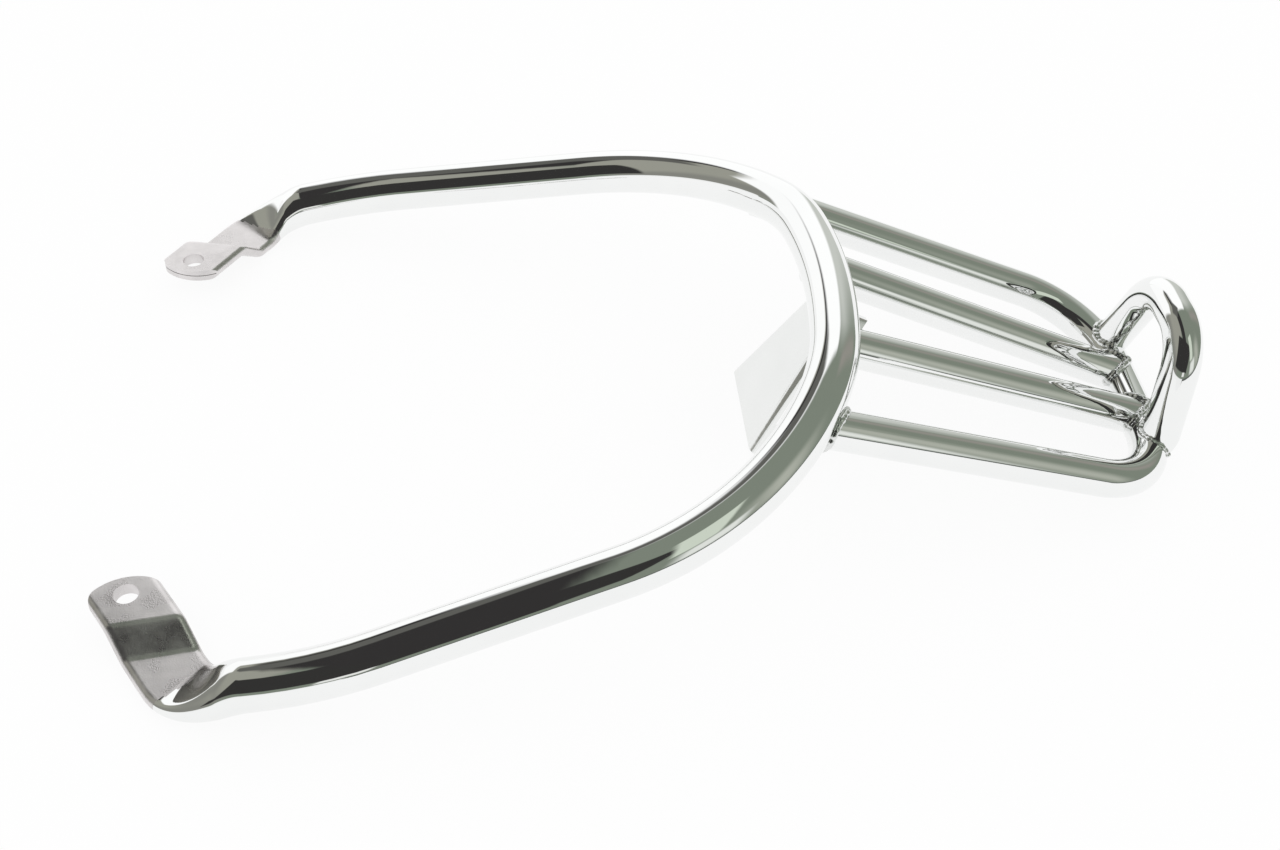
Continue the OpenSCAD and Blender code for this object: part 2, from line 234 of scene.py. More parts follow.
mirrorChrome = plating("mirrorChrome", {
    "dark": (0.86, 0.87, 0.865), "light": (0.93, 0.935, 0.93),
    "rough": (0.015, 0.04), "cloudScale": 24, "grainScale": 60,
    "bump": 0.12, "bumpDepth": 0.0002,
})
pressedChrome = plating("pressedChrome", {
    "dark": (0.44, 0.425, 0.42), "light": (0.96, 0.93, 0.93),
    "rough": (0.22, 0.36), "cloudScale": 90, "grainScale": 1500,
    "bump": 0.5, "bumpDepth": 0.0001,
})
sheetChrome = plating("sheetChrome", {
    "dark": (0.82, 0.83, 0.82), "light": (0.9, 0.91, 0.9),
    "rough": (0.05, 0.12), "cloudScale": 40, "grainScale": 140,
    "bump": 0.15, "bumpDepth": 0.0002,
})
beadChrome = plating("beadChrome", {
    "dark": (0.62, 0.63, 0.62), "light": (0.88, 0.89, 0.88),
    "rough": (0.06, 0.18), "cloudScale": 300, "grainScale": 700,
    "bump": 0.4, "bumpDepth": 0.0003,
})
print("finishes made")


# hoop: bend table in mm and degrees, from the middle of the crown to a tab
hoopSet = {
    "tube": 22, "sides": 96,
    "crownRadius": 230, "crownTurn": 10, "crownTilt": 29.5,
    "cornerRadius": 88, "cornerTurn": 20.5, "sideRoll": 21,
    "sideRadius": 139, "sideTurn": 50, "sideLength": 99,
    "easeRadius": 200, "easeTurn": 18.5, "frontRadius": 30,
    "tabToe": 57, "tabWidth": 29.5, "tabThick": 6, "tabReach": 40, "tabHole": 10.5,
    "joggleHeight": 10, "joggleNear": 17, "joggleRun": 12, "creaseSlant": 24,
    "pressLength": 34, "tipRadius": 22, "tipBack": 12, "tipSide": 4.5,
    "tipCornerRadius": 7, "rearOffset": 69.4518,
    "seamGap": 0.4, "seamDepth": 0.9, "creaseSoft": 1.6,
    "cutLow": -5, "cutHigh": 40, "tipCutOut": 60, "cornerCutOut": 40,
    "seamCutOut": 30, "seamCornerCutOut": 20, "satinBack": 9,
}
hoopSteps = {
    "crown": 8, "corner": 12, "side": 30, "ease": 6, "press": 36,
    "tip": 48, "tipCorner": 24, "seam": 40, "seamCorner": 16, "hole": 64,
}
seamEnds = (-58, 62)  # degrees round the tab's end, where the seam line starts and stops
h = {key: value * mm for key, value in hoopSet.items()}
tubeRadius = h["tube"] / 2
tabWay = Vector((-cos(radians(hoopSet["tabToe"])), -sin(radians(hoopSet["tabToe"])), 0))
crownTilt = radians(hoopSet["crownTilt"])
crownFlat = Run((0, 0, 0), (0, 1, 0), (-sin(crownTilt), 0, cos(crownTilt)))


def hoopRuns(first):
    corner = first.bent(h["crownRadius"], hoopSet["crownTurn"])
    side = corner.bent(h["cornerRadius"], hoopSet["cornerTurn"]).rolled(hoopSet["sideRoll"])
    straight = side.bent(h["sideRadius"], hoopSet["sideTurn"])
    end = straight.ahead(h["sideLength"])
    ease = Run(end.at, end.way, end.way.cross(tabWay))
    frontTurn = angleBetween(end.way, tabWay) - hoopSet["easeTurn"]
    front = ease.bent(h["easeRadius"], hoopSet["easeTurn"])
    tab = front.bent(h["frontRadius"], frontTurn)
    return corner, side, straight, ease, front, tab, frontTurn


crownHeight = tubeRadius - hoopRuns(crownFlat)[5].at.z
crown = crownFlat.moved(h["rearOffset"], crownHeight)
cornerRun, sideRun, straightRun, easeRun, frontRun, tabRun, frontTurn = hoopRuns(crown)
quickLength = radians(frontTurn) * h["frontRadius"]
pressFrom = max(h["pressLength"] + 4 * mm, quickLength + 2 * mm)
roundTurn = hoopSet["easeTurn"] - degrees((pressFrom - quickLength) / h["easeRadius"])
holeAt = tabRun.at + tabWay * h["tabReach"]


def beforeTab(length):
    if length < quickLength:
        return frontRun.bent(h["frontRadius"], frontTurn - degrees(length / h["frontRadius"]))
    back = degrees((length - quickLength) / h["easeRadius"])
    return easeRun.bent(h["easeRadius"], hoopSet["easeTurn"] - back)


def eased(u):
    u = max(0, min(1, u))
    return u * u * (3 - 2 * u)


def stadium(part, halfWidth, halfHeight):
    flat = max(halfWidth - halfHeight, 0)
    quarter = pi * halfHeight / 2
    s = (part % 1) * (4 * quarter + 4 * flat)
    if s < quarter:
        a = s / halfHeight
        return flat + halfHeight * cos(a), halfHeight * sin(a)
    if s < quarter + 2 * flat:
        return flat - (s - quarter), halfHeight
    if s < 3 * quarter + 2 * flat:
        a = pi / 2 + (s - quarter - 2 * flat) / halfHeight
        return -flat + halfHeight * cos(a), halfHeight * sin(a)
    if s < 3 * quarter + 4 * flat:
        return -flat + (s - 3 * quarter - 2 * flat), -halfHeight
    a = 3 * pi / 2 + (s - 3 * quarter - 4 * flat) / halfHeight
    return flat + halfHeight * cos(a), halfHeight * sin(a)


def acrossOf(run):
    side = run.way.cross(up).normalized()
    return side, side.cross(run.way)


def markAround(piece, run):
    # each point of the end ring keeps its share of the way round the tube
    mesh = bmesh.from_edit_mesh(piece.data)
    share = mesh.verts.layers.float.new("share")
    side, over = acrossOf(run)
    for v in mesh.verts:
        if v.select:
            d = v.co - run.at
            v[share] = (atan2(d.dot(over), d.dot(side)) / (2 * pi)) % 1
    bmesh.update_edit_mesh(piece.data)


def pressedRing(piece, run, flat, slant=0, rise=0):
    # the next ring of the tube, pressed towards a flat strip
    bpy.ops.mesh.extrude_region_move(TRANSFORM_OT_translate={"value": (0, 0, 0)})
    mesh = bmesh.from_edit_mesh(piece.data)
    share = mesh.verts.layers.float["share"]
    halfWidth = tubeRadius + (h["tabWidth"] / 2 - tubeRadius) * flat
    halfHeight = tubeRadius + (h["tabThick"] / 2 - tubeRadius) * flat
    side, over = acrossOf(run)
    middle = run.at - over * (tubeRadius - halfHeight) + up * rise
    for v in mesh.verts:
        if v.select:
            x, y = stadium(v[share], halfWidth, halfHeight)
            v.co = middle + side * x + over * y + run.way * (x * tan(radians(slant)))
    bmesh.update_edit_mesh(piece.data)


def softJoggle(x, start, length, soft):
    # height share along the strip, level before and after, with rounded creases
    def ramp(u):
        if u < -soft:
            return 0
        return (u + soft) ** 2 / (4 * soft) if u < soft else u
    return (ramp(x - start) - ramp(x - start - length)) / length


def makeHoop():
    tube = startTube("hoopTube", crown, tubeRadius, hoopSet["sides"])
    run = runBend(crown, h["crownRadius"], hoopSet["crownTurn"], hoopSteps["crown"])
    run = runBend(run, h["cornerRadius"], hoopSet["cornerTurn"], hoopSteps["corner"])
    run = runBend(sideRun, h["sideRadius"], hoopSet["sideTurn"], hoopSteps["side"])
    run = runStraight(straightRun, h["sideLength"])
    run = runBend(easeRun, h["easeRadius"], roundTurn, hoopSteps["ease"])
    markAround(tube, run)
    rings = hoopSteps["press"]
    for k in range(1, rings + 1):
        length = pressFrom * (1 - k / rings)
        flat = eased((pressFrom - length) / (pressFrom - 4 * mm))
        pressedRing(tube, beforeTab(length), flat)
    start = h["tabReach"] - h["joggleNear"] - h["joggleRun"]
    soft = h["creaseSoft"]
    stops = [start - 3 * mm]
    stops += [start + soft * (k / 4 - 1) for k in range(9)]
    stops += [start + h["joggleRun"] * k / 4 for k in range(1, 4)]
    stops += [start + h["joggleRun"] + soft * (k / 4 - 1) for k in range(9)]
    stops += [h["tabReach"] + h["tipRadius"] + 2 * mm]
    for x in stops:
        rise = h["joggleHeight"] * softJoggle(x, start, h["joggleRun"], soft)
        pressedRing(tube, tabRun.ahead(x), 1, hoopSet["creaseSlant"], rise)
    endClosed()
    objectMode()
    cleanedOpen(tube)
    return tube


def cleanedOpen(piece):
    # the open ring at the centre plane is closed for the cuts
    editAll(piece)
    bpy.ops.mesh.select_all(action="DESELECT")
    mesh = bmesh.from_edit_mesh(piece.data)
    for v in mesh.verts:
        v.select_set(abs(v.co.y) < 0.000001)
    mesh.select_flush(True)
    bmesh.update_edit_mesh(piece.data)
    bpy.ops.mesh.edge_face_add()
    bpy.ops.mesh.select_all(action="SELECT")
    bpy.ops.mesh.normals_make_consistent(inside=False)
    objectMode()


def openedAtMiddle(piece):
    # the face across the tube at the centre plane goes before the two sides are joined
    editAll(piece)
    bpy.ops.mesh.select_all(action="DESELECT")
    bpy.ops.mesh.select_mode(type="FACE")
    mesh = bmesh.from_edit_mesh(piece.data)
    for f in mesh.faces:
        f.select_set(all(abs(v.co.y) < 0.000001 for v in f.verts))
    bmesh.update_edit_mesh(piece.data)
    bpy.ops.mesh.delete(type="FACE")
    objectMode()


def tabSpot(along, side, height):
    # a point of the tab: along it from the hole, to its front side, and up
    front = Vector((-sin(radians(hoopSet["tabToe"])), cos(radians(hoopSet["tabToe"])), 0))
    spot = holeAt + tabWay * along + front * side
    return Vector((spot.x, spot.y, height))


def sectorCutter(name, middle, inner, outer, low, high, first, last, steps):
    # a flat face stands across the sector and is spun round the arc's centre
    front = Vector((-sin(radians(hoopSet["tabToe"])), cos(radians(hoopSet["tabToe"])), 0))
    way = tabWay * cos(radians(first)) + front * sin(radians(first))
    nothingSelected()
    turn = Matrix((way, up, way.cross(up))).transposed().to_euler()
    place = Vector((middle.x, middle.y, (low + high) / 2)) + way * (inner + outer) / 2
    bpy.ops.mesh.primitive_plane_add(size=1, location=place, rotation=turn)
    bpy.context.object.scale = (outer - inner, high - low, 1)
    cutter = newPiece(name)
    editAll(cutter)
    sense = 1 if tabWay.cross(front).z > 0 else -1
    bpy.ops.mesh.spin(steps=steps, dupli=False, angle=-sense * radians(last - first),
                      center=(middle.x, middle.y, 0), axis=(0, 0, 1))
    bpy.ops.mesh.select_all(action="SELECT")
    bpy.ops.mesh.normals_make_consistent(inside=False)
    objectMode()
    return cutter


def cutTab(tube):
    tipMiddle = tabSpot(-h["tipBack"], h["tipSide"], 0)
    cornerSide = h["tabWidth"] / 2 - h["tipCornerRadius"]
    reach = h["tipRadius"] - h["tipCornerRadius"]
    cornerOn = sqrt(reach ** 2 - (cornerSide - h["tipSide"]) ** 2) - h["tipBack"]
    cornerMiddle = tabSpot(cornerOn, cornerSide, 0)
    meet = degrees(atan2(cornerSide - h["tipSide"], cornerOn + h["tipBack"]))
    seamLow = h["joggleHeight"] + h["tabThick"] / 2 - h["seamGap"] / 2
    seamHigh = seamLow + h["seamGap"]
    depth = h["seamDepth"]
    cutBy(tube, sectorCutter("tipCutter", tipMiddle, h["tipRadius"], h["tipCutOut"],
                             h["cutLow"], h["cutHigh"], -90, meet + 1, hoopSteps["tip"]))
    cutBy(tube, sectorCutter("tipCornerCutter", cornerMiddle, h["tipCornerRadius"],
                             h["cornerCutOut"], h["cutLow"], h["cutHigh"] + mm, meet, 90,
                             hoopSteps["tipCorner"]))
    cutBy(tube, sectorCutter("seamCutter", tipMiddle, h["tipRadius"] - depth, h["seamCutOut"],
                             seamLow, seamHigh, seamEnds[0], meet, hoopSteps["seam"]))
    cutBy(tube, sectorCutter("seamCornerCutter", cornerMiddle, h["tipCornerRadius"] - depth,
                             h["seamCornerCutOut"], seamLow, seamHigh, meet - 0.5, seamEnds[1],
                             hoopSteps["seamCorner"]))
    nothingSelected()
    bpy.ops.mesh.primitive_cylinder_add(vertices=hoopSteps["hole"], radius=h["tabHole"] / 2,
                                        depth=60 * mm, location=(holeAt.x, holeAt.y, 0.012))
    cutBy(tube, newPiece("holeCutter"))


hoopTube = makeHoop()
cutTab(hoopTube)
openedAtMiddle(hoopTube)
mirroredAcross(hoopTube)
smoothed(hoopTube, 32)
print("hoop made:", len(hoopTube.data.vertices), "points")


# carrier, bars and bail, in mm and degrees
carrierSet = {
    "tube": 18, "length": 163, "frontWidth": 161.5, "rearWidth": 130, "cornerRadius": 45,
    "under": 3.5, "barsFrontWidth": 56.5, "barsRearWidth": 31, "barsUnder": 13.5,
}
c = {key: value * mm for key, value in carrierSet.items()}
barRadius = c["tube"] / 2
hoopPath = [crown.bent(h["crownRadius"], hoopSet["crownTurn"] * k / 10).at for k in range(10)]
hoopPath += [cornerRun.bent(h["cornerRadius"], hoopSet["cornerTurn"] * k / 10).at
             for k in range(10)]
hoopPath += [sideRun.bent(h["sideRadius"], hoopSet["sideTurn"] * k / 20).at for k in range(21)]


def onHoop(y):
    for a, b in zip(hoopPath, hoopPath[1:]):
        if a.y <= y <= b.y:
            return a.lerp(b, (y - a.y) / (b.y - a.y))
    return Vector((hoopPath[0].x, y, hoopPath[0].z))


def hoopWay(y):
    return (onHoop(y + mm) - onHoop(y - mm)).normalized()


rearX = h["rearOffset"] + c["length"]
sideFront = onHoop(c["frontWidth"] / 2) - up * c["under"]
sideBack = Vector((rearX, c["rearWidth"] / 2, barRadius))
sideWay = (sideFront - sideBack).normalized()
cornerTurn = angleBetween(sideWay, Vector((0, 1, 0)))
cornerCut = c["cornerRadius"] * tan(radians(cornerTurn / 2))
rearStart = Run((rearX, 0, barRadius), (0, 1, 0), Vector((0, 1, 0)).cross(sideWay))
barFront = onHoop(c["barsFrontWidth"] / 2) - up * c["barsUnder"]
barBack = Vector((rearX, c["barsRearWidth"] / 2, barRadius))


def makeCarrier():
    tube = startTube("carrierTube", rearStart, barRadius)
    run = runStraight(rearStart, sideBack.y - cornerCut)
    run = runBend(run, c["cornerRadius"], cornerTurn, 28)
    runStraight(run, (sideFront - run.at).length)
    endClosed()
    objectMode()
    mirroredAcross(tube)
    cutBy(tube, hoopTube, keepCutter=True)
    smoothed(tube)
    return tube


carrierTube = makeCarrier()
print("carrier made:", len(carrierTube.data.vertices), "points")


def makeBar(name, side):
    flip = Vector((1, side, 1))
    start, end = barFront * flip, barBack * flip
    way = end - start
    run = Run(start, way, way.cross(up))
    tube = startTube(name, run, barRadius)
    endClosed()
    bpy.ops.mesh.extrude_region_move(TRANSFORM_OT_translate={"value": way * (1 - 1 / 300)})
    objectMode()
    cleaned(tube)
    cutBy(tube, hoopTube, keepCutter=True)
    cutBy(tube, carrierTube, keepCutter=True)
    smoothed(tube)
    return tube


leftBar = makeBar("leftBar", -1)
rightBar = makeBar("rightBar", 1)
print("bars made:", len(leftBar.data.vertices), "points each")

bailSet = {
    "footWidth": 77, "topWidth": 42, "height": 63.5, "lean": 6, "footBack": 4.3,
    "cornerRadius": 24,
}
b = {key: value * mm for key, value in bailSet.items()}
footTurn = asin((b["footWidth"] / 2 - (sideBack.y - cornerCut)) / c["cornerRadius"])
belowFoot = Vector((rearX - c["cornerRadius"] * (1 - cos(footTurn)), b["footWidth"] / 2, barRadius))
footAt = belowFoot + Vector((b["footBack"], 0, 0))
kneeAt = Vector((footAt.x + b["lean"], b["topWidth"] / 2, b["height"]))
legWay = (kneeAt - footAt).normalized()
kneeTurn = angleBetween(legWay, Vector((0, -1, 0)))


slantSet = {  # mm and degrees: the block cut off below a foot, before it is turned
    "block": (40, 40, 30), "corner": (-6, -20, -30), "tilt": 50, "inset": 0.8, "rise": 0.4,
}


def footSlant(side):
    # what is cut off below a foot's overhang
    nothingSelected()
    bpy.ops.mesh.primitive_cube_add(size=1, location=(0, 0, 0))
    cutter = newPiece("footSlant")
    cutter.data.transform(Matrix.Translation((0.5, 0.5, 0.5)))
    cutter.data.transform(Matrix.Diagonal((*(v * mm for v in slantSet["block"]), 1)))
    cutter.data.transform(Matrix.Translation([v * mm for v in slantSet["corner"]]))
    cutter.data.transform(Matrix.Rotation(radians(-slantSet["tilt"]), 4, "Y"))
    outBy = barRadius - slantSet["inset"] * mm
    cutter.data.transform(Matrix.Translation((outBy, 0, barRadius * slantSet["rise"])))
    cutter.data.transform(Matrix.Rotation(footTurn, 4, "Z"))
    cutter.data.transform(Matrix.Translation(belowFoot))
    cutter.data.transform(Matrix.Diagonal((1, side, 1, 1)))
    cleaned(cutter)
    return cutter


def makeBail():
    run = Run(footAt, legWay, legWay.cross(Vector((0, -1, 0))))
    legLength = (kneeAt - footAt).length - b["cornerRadius"] * tan(radians(kneeTurn / 2))
    tube = startTube("bailTube", run, barRadius)
    endClosed()
    bpy.ops.mesh.select_all(action="DESELECT")
    mesh = bmesh.from_edit_mesh(tube.data)
    for e in mesh.edges:  # the ring goes on and its cap stays behind
        e.select_set(True)
    bmesh.update_edit_mesh(tube.data)
    run = runStraight(run, legLength)
    run = runBend(run, b["cornerRadius"], kneeTurn, 24)
    runStraight(run, run.at.y)
    objectMode()
    editAll(tube)
    bpy.ops.mesh.select_all(action="DESELECT")
    bpy.ops.mesh.select_mode(type="FACE")
    mesh = bmesh.from_edit_mesh(tube.data)
    for f in mesh.faces:
        f.select_set(all(abs(v.co.y) < 0.000005 for v in f.verts))
    bmesh.update_edit_mesh(tube.data)
    bpy.ops.mesh.delete(type="FACE")
    objectMode()
    mirroredAcross(tube)
    cutBy(tube, carrierTube, keepCutter=True)
    cutBy(tube, footSlant(1))
    cutBy(tube, footSlant(-1))
    smoothed(tube)
    return tube


bailTube = makeBail()
print("bail made:", len(bailTube.data.vertices), "points")


# rear bracket, folded from one sheet, in mm
bracketSet = {
    "sheet": 3, "topWidth": 28, "lowWidth": 60, "lowHeight": 6, "forward": 31, "back": 6,
    "foldDepth": 14, "foldRadius": 4, "cornerRadius": 6, "slotWidth": 6, "slotLength": 20,
    "slotShare": 0.68,
}
p = {key: value * mm for key, value in bracketSet.items()}
plateHead = Vector((h["rearOffset"] + p["back"], 0, crown.at.z - tubeRadius + 3 * mm))
plateFoot = Vector((h["rearOffset"] - p["forward"], 0, p["lowHeight"]))
plateWay = (plateFoot - plateHead).normalized()
plateBehind = Vector((0, 1, 0)).cross(plateWay)
if plateBehind.x < 0:
    plateBehind = -plateBehind
plateLength = (plateFoot - plateHead).length


def makeBracket():
    nothingSelected()
    middle = (plateHead + plateFoot) / 2
    turn = Matrix((plateWay, Vector((0, 1, 0)), plateWay.cross(Vector((0, 1, 0))))).transposed()
    bpy.ops.mesh.primitive_plane_add(size=1, location=middle, rotation=turn.to_euler())
    bpy.context.object.scale = (plateLength, p["topWidth"], 1)
    sheet = newPiece("bracketSheet")
    editAll(sheet)
    bpy.ops.mesh.select_all(action="DESELECT")
    mesh = bmesh.from_edit_mesh(sheet.data)
    for v in mesh.verts:  # the lower edge is drawn out to its own width
        v.select_set((v.co - plateHead).dot(plateWay) > plateLength / 2)
    mesh.select_flush(True)
    bmesh.update_edit_mesh(sheet.data)
    wider = bracketSet["lowWidth"] / bracketSet["topWidth"]
    bpy.ops.transform.resize(value=(1, wider, 1), center_override=plateFoot)
    bpy.ops.mesh.select_mode(type="EDGE")
    bpy.ops.mesh.select_all(action="DESELECT")
    mesh = bmesh.from_edit_mesh(sheet.data)
    for e in mesh.edges:
        e.select_set(e.verts[0].co.y * e.verts[1].co.y > 0)
    bmesh.update_edit_mesh(sheet.data)
    bpy.ops.mesh.extrude_region_move(TRANSFORM_OT_translate={"value": plateBehind * p["foldDepth"]})
    bpy.ops.mesh.select_all(action="DESELECT")
    mesh = bmesh.from_edit_mesh(sheet.data)
    for e in mesh.edges:  # the two folds
        e.select_set(len(e.link_faces) == 2)
    bmesh.update_edit_mesh(sheet.data)
    bpy.ops.mesh.bevel(offset=p["foldRadius"], offset_type="OFFSET", segments=8, affect="EDGES")
    bpy.ops.mesh.select_mode(type="VERT")
    bpy.ops.mesh.select_all(action="DESELECT")
    mesh = bmesh.from_edit_mesh(sheet.data)
    for v in mesh.verts:  # the folded sides' free lower corners
        deep = (v.co - plateHead).dot(plateBehind) > p["foldDepth"] - 0.1 * mm
        v.select_set(deep and (v.co - plateHead).dot(plateWay) > plateLength / 2)
    bmesh.update_edit_mesh(sheet.data)
    bpy.ops.mesh.bevel(offset=p["cornerRadius"], segments=8, affect="VERTICES")
    bpy.ops.mesh.select_all(action="SELECT")
    bpy.ops.mesh.normals_make_consistent(inside=False)
    objectMode()
    thick = sheet.modifiers.new("thick", "SOLIDIFY")
    thick.thickness = p["sheet"]
    thick.offset = -1
    onlySelected(sheet)
    bpy.ops.object.modifier_apply(modifier=thick.name)
    cutBy(sheet, slotCutter())
    cutBy(sheet, hoopTube, keepCutter=True)
    smoothed(sheet, 30)
    return sheet


def slotCutter():
    middle = plateHead + (plateFoot - plateHead) * bracketSet["slotShare"]
    middle = middle + plateBehind * (p["sheet"] + 0.5 * mm + p["slotWidth"] / 2)
    nothingSelected()
    turn = Vector((0, 0, 1)).rotation_difference(Vector((0, 1, 0))).to_euler()
    run = plateWay * (p["slotLength"] - p["slotWidth"])
    bpy.ops.mesh.primitive_cylinder_add(vertices=48, radius=p["slotWidth"] / 2,
                                        depth=2 * p["lowWidth"], location=middle - run / 2,
                                        rotation=turn)
    cutter = newPiece("slotCutter")
    editAll(cutter)
    bpy.ops.mesh.select_all(action="DESELECT")
    mesh = bmesh.from_edit_mesh(cutter.data)
    for v in mesh.verts:
        v.select_set((v.co - middle + run / 2).dot(plateWay) > -1e-6)
    mesh.select_flush(True)
    bmesh.update_edit_mesh(cutter.data)
    bpy.ops.transform.translate(value=run)
    objectMode()
    return cutter


bracketSheet = makeBracket()
print("bracket made:", len(bracketSheet.data.vertices), "points")


# weld beads along the lines where the tubes meet
weldSet = {
    "radius": 1.7, "ripple": 0.2, "ripplePitch": 2.6, "stand": 0.4, "pointsPerRipple": 7,
    "trim": 0.86,  # how much of the reachable angle a bead takes
}


def squareTo(way):
    return (up - way * up.dot(way)).normalized()


class Joint:
    # a tube's start and way, and a point, the way and the radius of the other tube
    def __init__(self, at, way, otherAt, otherWay, otherRadius):
        self.at, self.way = at, way.normalized()
        self.otherAt, self.otherWay = otherAt, otherWay.normalized()
        self.otherRadius = otherRadius

    def outward(self, angle):
        a = radians(angle)
        square = squareTo(self.way)
        return square * cos(a) + self.way.cross(square) * sin(a)

    def flattened(self, v):
        return v - self.otherWay * v.dot(self.otherWay)

    def room(self, angle):
        w = self.flattened(self.at + self.outward(angle) * barRadius - self.otherAt)
        m = self.flattened(self.way)
        half = w.dot(m)
        return half * half - m.dot(m) * (w.dot(w) - self.otherRadius ** 2)

    def meets(self, angle):
        w = self.flattened(self.at + self.outward(angle) * barRadius - self.otherAt)
        m = self.flattened(self.way)
        root = sqrt(max(self.room(angle), 0))
        along = (w.dot(m) + root) / m.dot(m)
        return self.at + self.outward(angle) * barRadius - self.way * along

    def reach(self, step):
        a = 0
        while abs(a) < 172 and self.room(a + step) >= 0:
            a += step
        return a


def beadLine(joint, most=172):
    trim = weldSet["trim"]
    first, last = max(joint.reach(-2) * trim, -most), min(joint.reach(2) * trim, most)
    stand = weldSet["stand"] * mm
    line = []
    for k in range(121):
        angle = first + (last - first) * k / 120
        spot = joint.meets(angle)
        off = joint.outward(angle) + joint.flattened(spot - joint.otherAt).normalized()
        line.append(spot + off * stand)
    return line


def makeBead(name, line):
    lengths = [0]
    for a, d in zip(line, line[1:]):
        lengths.append(lengths[-1] + (d - a).length)
    ripples = max(4, round(lengths[-1] / (weldSet["ripplePitch"] * mm)))
    count = ripples * weldSet["pointsPerRipple"]
    curve = bpy.data.curves.new(name, "CURVE")
    curve.dimensions = "3D"
    curve.bevel_depth = weldSet["radius"] * mm
    curve.bevel_resolution = 3
    curve.use_fill_caps = True
    spline = curve.splines.new("POLY")
    spline.points.add(count)
    for k in range(count + 1):
        want = lengths[-1] * k / count
        i = max(j for j in range(len(lengths)) if lengths[j] <= want + 1e-9)
        i = min(i, len(line) - 2)
        share = (want - lengths[i]) / max(lengths[i + 1] - lengths[i], 1e-9)
        spot = line[i].lerp(line[i + 1], share)
        spline.points[k].co = (*spot, 1)
        ripple = abs(sin(pi * k / weldSet["pointsPerRipple"]))
        lump = sin(k * 0.37) * 0.08 + sin(k * 0.11 + 1) * 0.1
        edge = min(1, 0.35 + min(k, count - k) / 5)
        spline.points[k].radius = (1 - weldSet["ripple"] * (1 - ripple) * 0.6 + lump) * edge
    piece = bpy.data.objects.new(name, curve)
    scene.collection.objects.link(piece)
    onlySelected(piece)
    bpy.ops.object.convert(target="MESH")
    return bpy.context.object


def joinedBeads(name, lines):
    beads = [makeBead(name, line) for line in lines]
    nothingSelected()
    for bead in beads:
        bead.select_set(True)
    bpy.context.view_layer.objects.active = beads[0]
    bpy.ops.object.join()
    piece = bpy.context.object
    piece.name = name
    cleaned(piece)
    smoothed(piece, 60)
    return piece


def bothSides(lines):
    return lines + [[Vector((v.x, -v.y, v.z)) for v in line] for line in lines]


sideJoint = Joint(sideBack, sideWay, onHoop(c["frontWidth"] / 2), hoopWay(c["frontWidth"] / 2),
                  tubeRadius)
frontJoint = Joint(barBack, barFront - barBack, onHoop(c["barsFrontWidth"] / 2),
                   hoopWay(c["barsFrontWidth"] / 2), tubeRadius)
rearJoint = Joint(barFront, barBack - barFront, barBack, Vector((0, 1, 0)), barRadius)
footWay = Vector((-sin(footTurn), cos(footTurn), 0))
footJoint = Joint(kneeAt, -legWay, belowFoot, footWay, barRadius)
carrierBeads = joinedBeads("carrierBeads", bothSides([beadLine(sideJoint)]))
barBeads = joinedBeads("barBeads", bothSides([beadLine(frontJoint), beadLine(rearJoint, 104)]))
bailBeads = joinedBeads("bailBeads", bothSides([beadLine(footJoint)]))
print("weld beads made")


# who stands for which node
finishedPiece(hoopTube, "hoop", mirrorChrome)
finishedPiece(carrierTube, "carrier_loop", mirrorChrome)
finishedPiece(leftBar, "left_bar", mirrorChrome)
finishedPiece(rightBar, "right_bar", mirrorChrome)
finishedPiece(bailTube, "bail", mirrorChrome)
finishedPiece(bracketSheet, "rear_bracket", sheetChrome)
finishedPiece(carrierBeads, "carrier_welds", beadChrome)
finishedPiece(barBeads, "bar_welds", beadChrome)
finishedPiece(bailBeads, "bail_welds", beadChrome)


def satinTabs():
    # the pressed ends have their own, duller plating
    hoopTube.data.materials.append(pressedChrome)
    start = tabRun.at - tabWay * h["satinBack"]
    for face in hoopTube.data.polygons:
        spot = Vector(face.center)
        spot.y = abs(spot.y)
        if (spot - start).dot(tabWay) > 0 and (spot - holeAt).length < 60 * mm:
            face.material_index = 1


satinTabs()
print("finishes given")


# studio: pale floor, soft light, and a room for the plating to mirror
studioSet = {
    "floorSize": 12.0, "floorColour": (0.95, 0.95, 0.95), "plain": 1.0, "floorGlow": 0.9,
    "base": (0.215, 0.245, 0.2), "floorRough": 0.9,
}
nothingSelected()
bpy.ops.mesh.primitive_plane_add(size=studioSet["floorSize"], location=(0, 0, 0))
floor = newPiece("paleFloor")
floorMaterial = bpy.data.materials.new("paleFloor")
floorMaterial.use_nodes = True
floorTree = floorMaterial.node_tree
floorShader = floorTree.nodes["Principled BSDF"]
floorShader.inputs["Base Color"].default_value = (*studioSet["floorColour"], 1)
floorShader.inputs["Roughness"].default_value = studioSet["floorRough"]
floorOut = floorTree.nodes["Material Output"]
floorPath = addNode(floorTree, "ShaderNodeLightPath")
floorWhite = addNode(floorTree, "ShaderNodeEmission", Color=(1, 1, 1, 1), Strength=1.0)
floorMix = addNode(floorTree, "ShaderNodeMixShader")
seen = addNode(floorTree, "ShaderNodeMath", operation="MAXIMUM")
share = addNode(floorTree, "ShaderNodeMath", operation="MULTIPLY")
share.inputs[1].default_value = studioSet["floorGlow"]
floorTree.links.new(floorPath.outputs["Is Camera Ray"], seen.inputs[0])
floorTree.links.new(floorPath.outputs["Is Glossy Ray"], seen.inputs[1])
floorTree.links.new(seen.outputs[0], share.inputs[0])
floorTree.links.new(share.outputs[0], floorMix.inputs["Fac"])
floorTree.links.new(floorShader.outputs[0], floorMix.inputs[1])
floorTree.links.new(floorWhite.outputs[0], floorMix.inputs[2])
floorTree.links.new(floorMix.outputs[0], floorOut.inputs["Surface"])
floor.data.materials.append(floorMaterial)

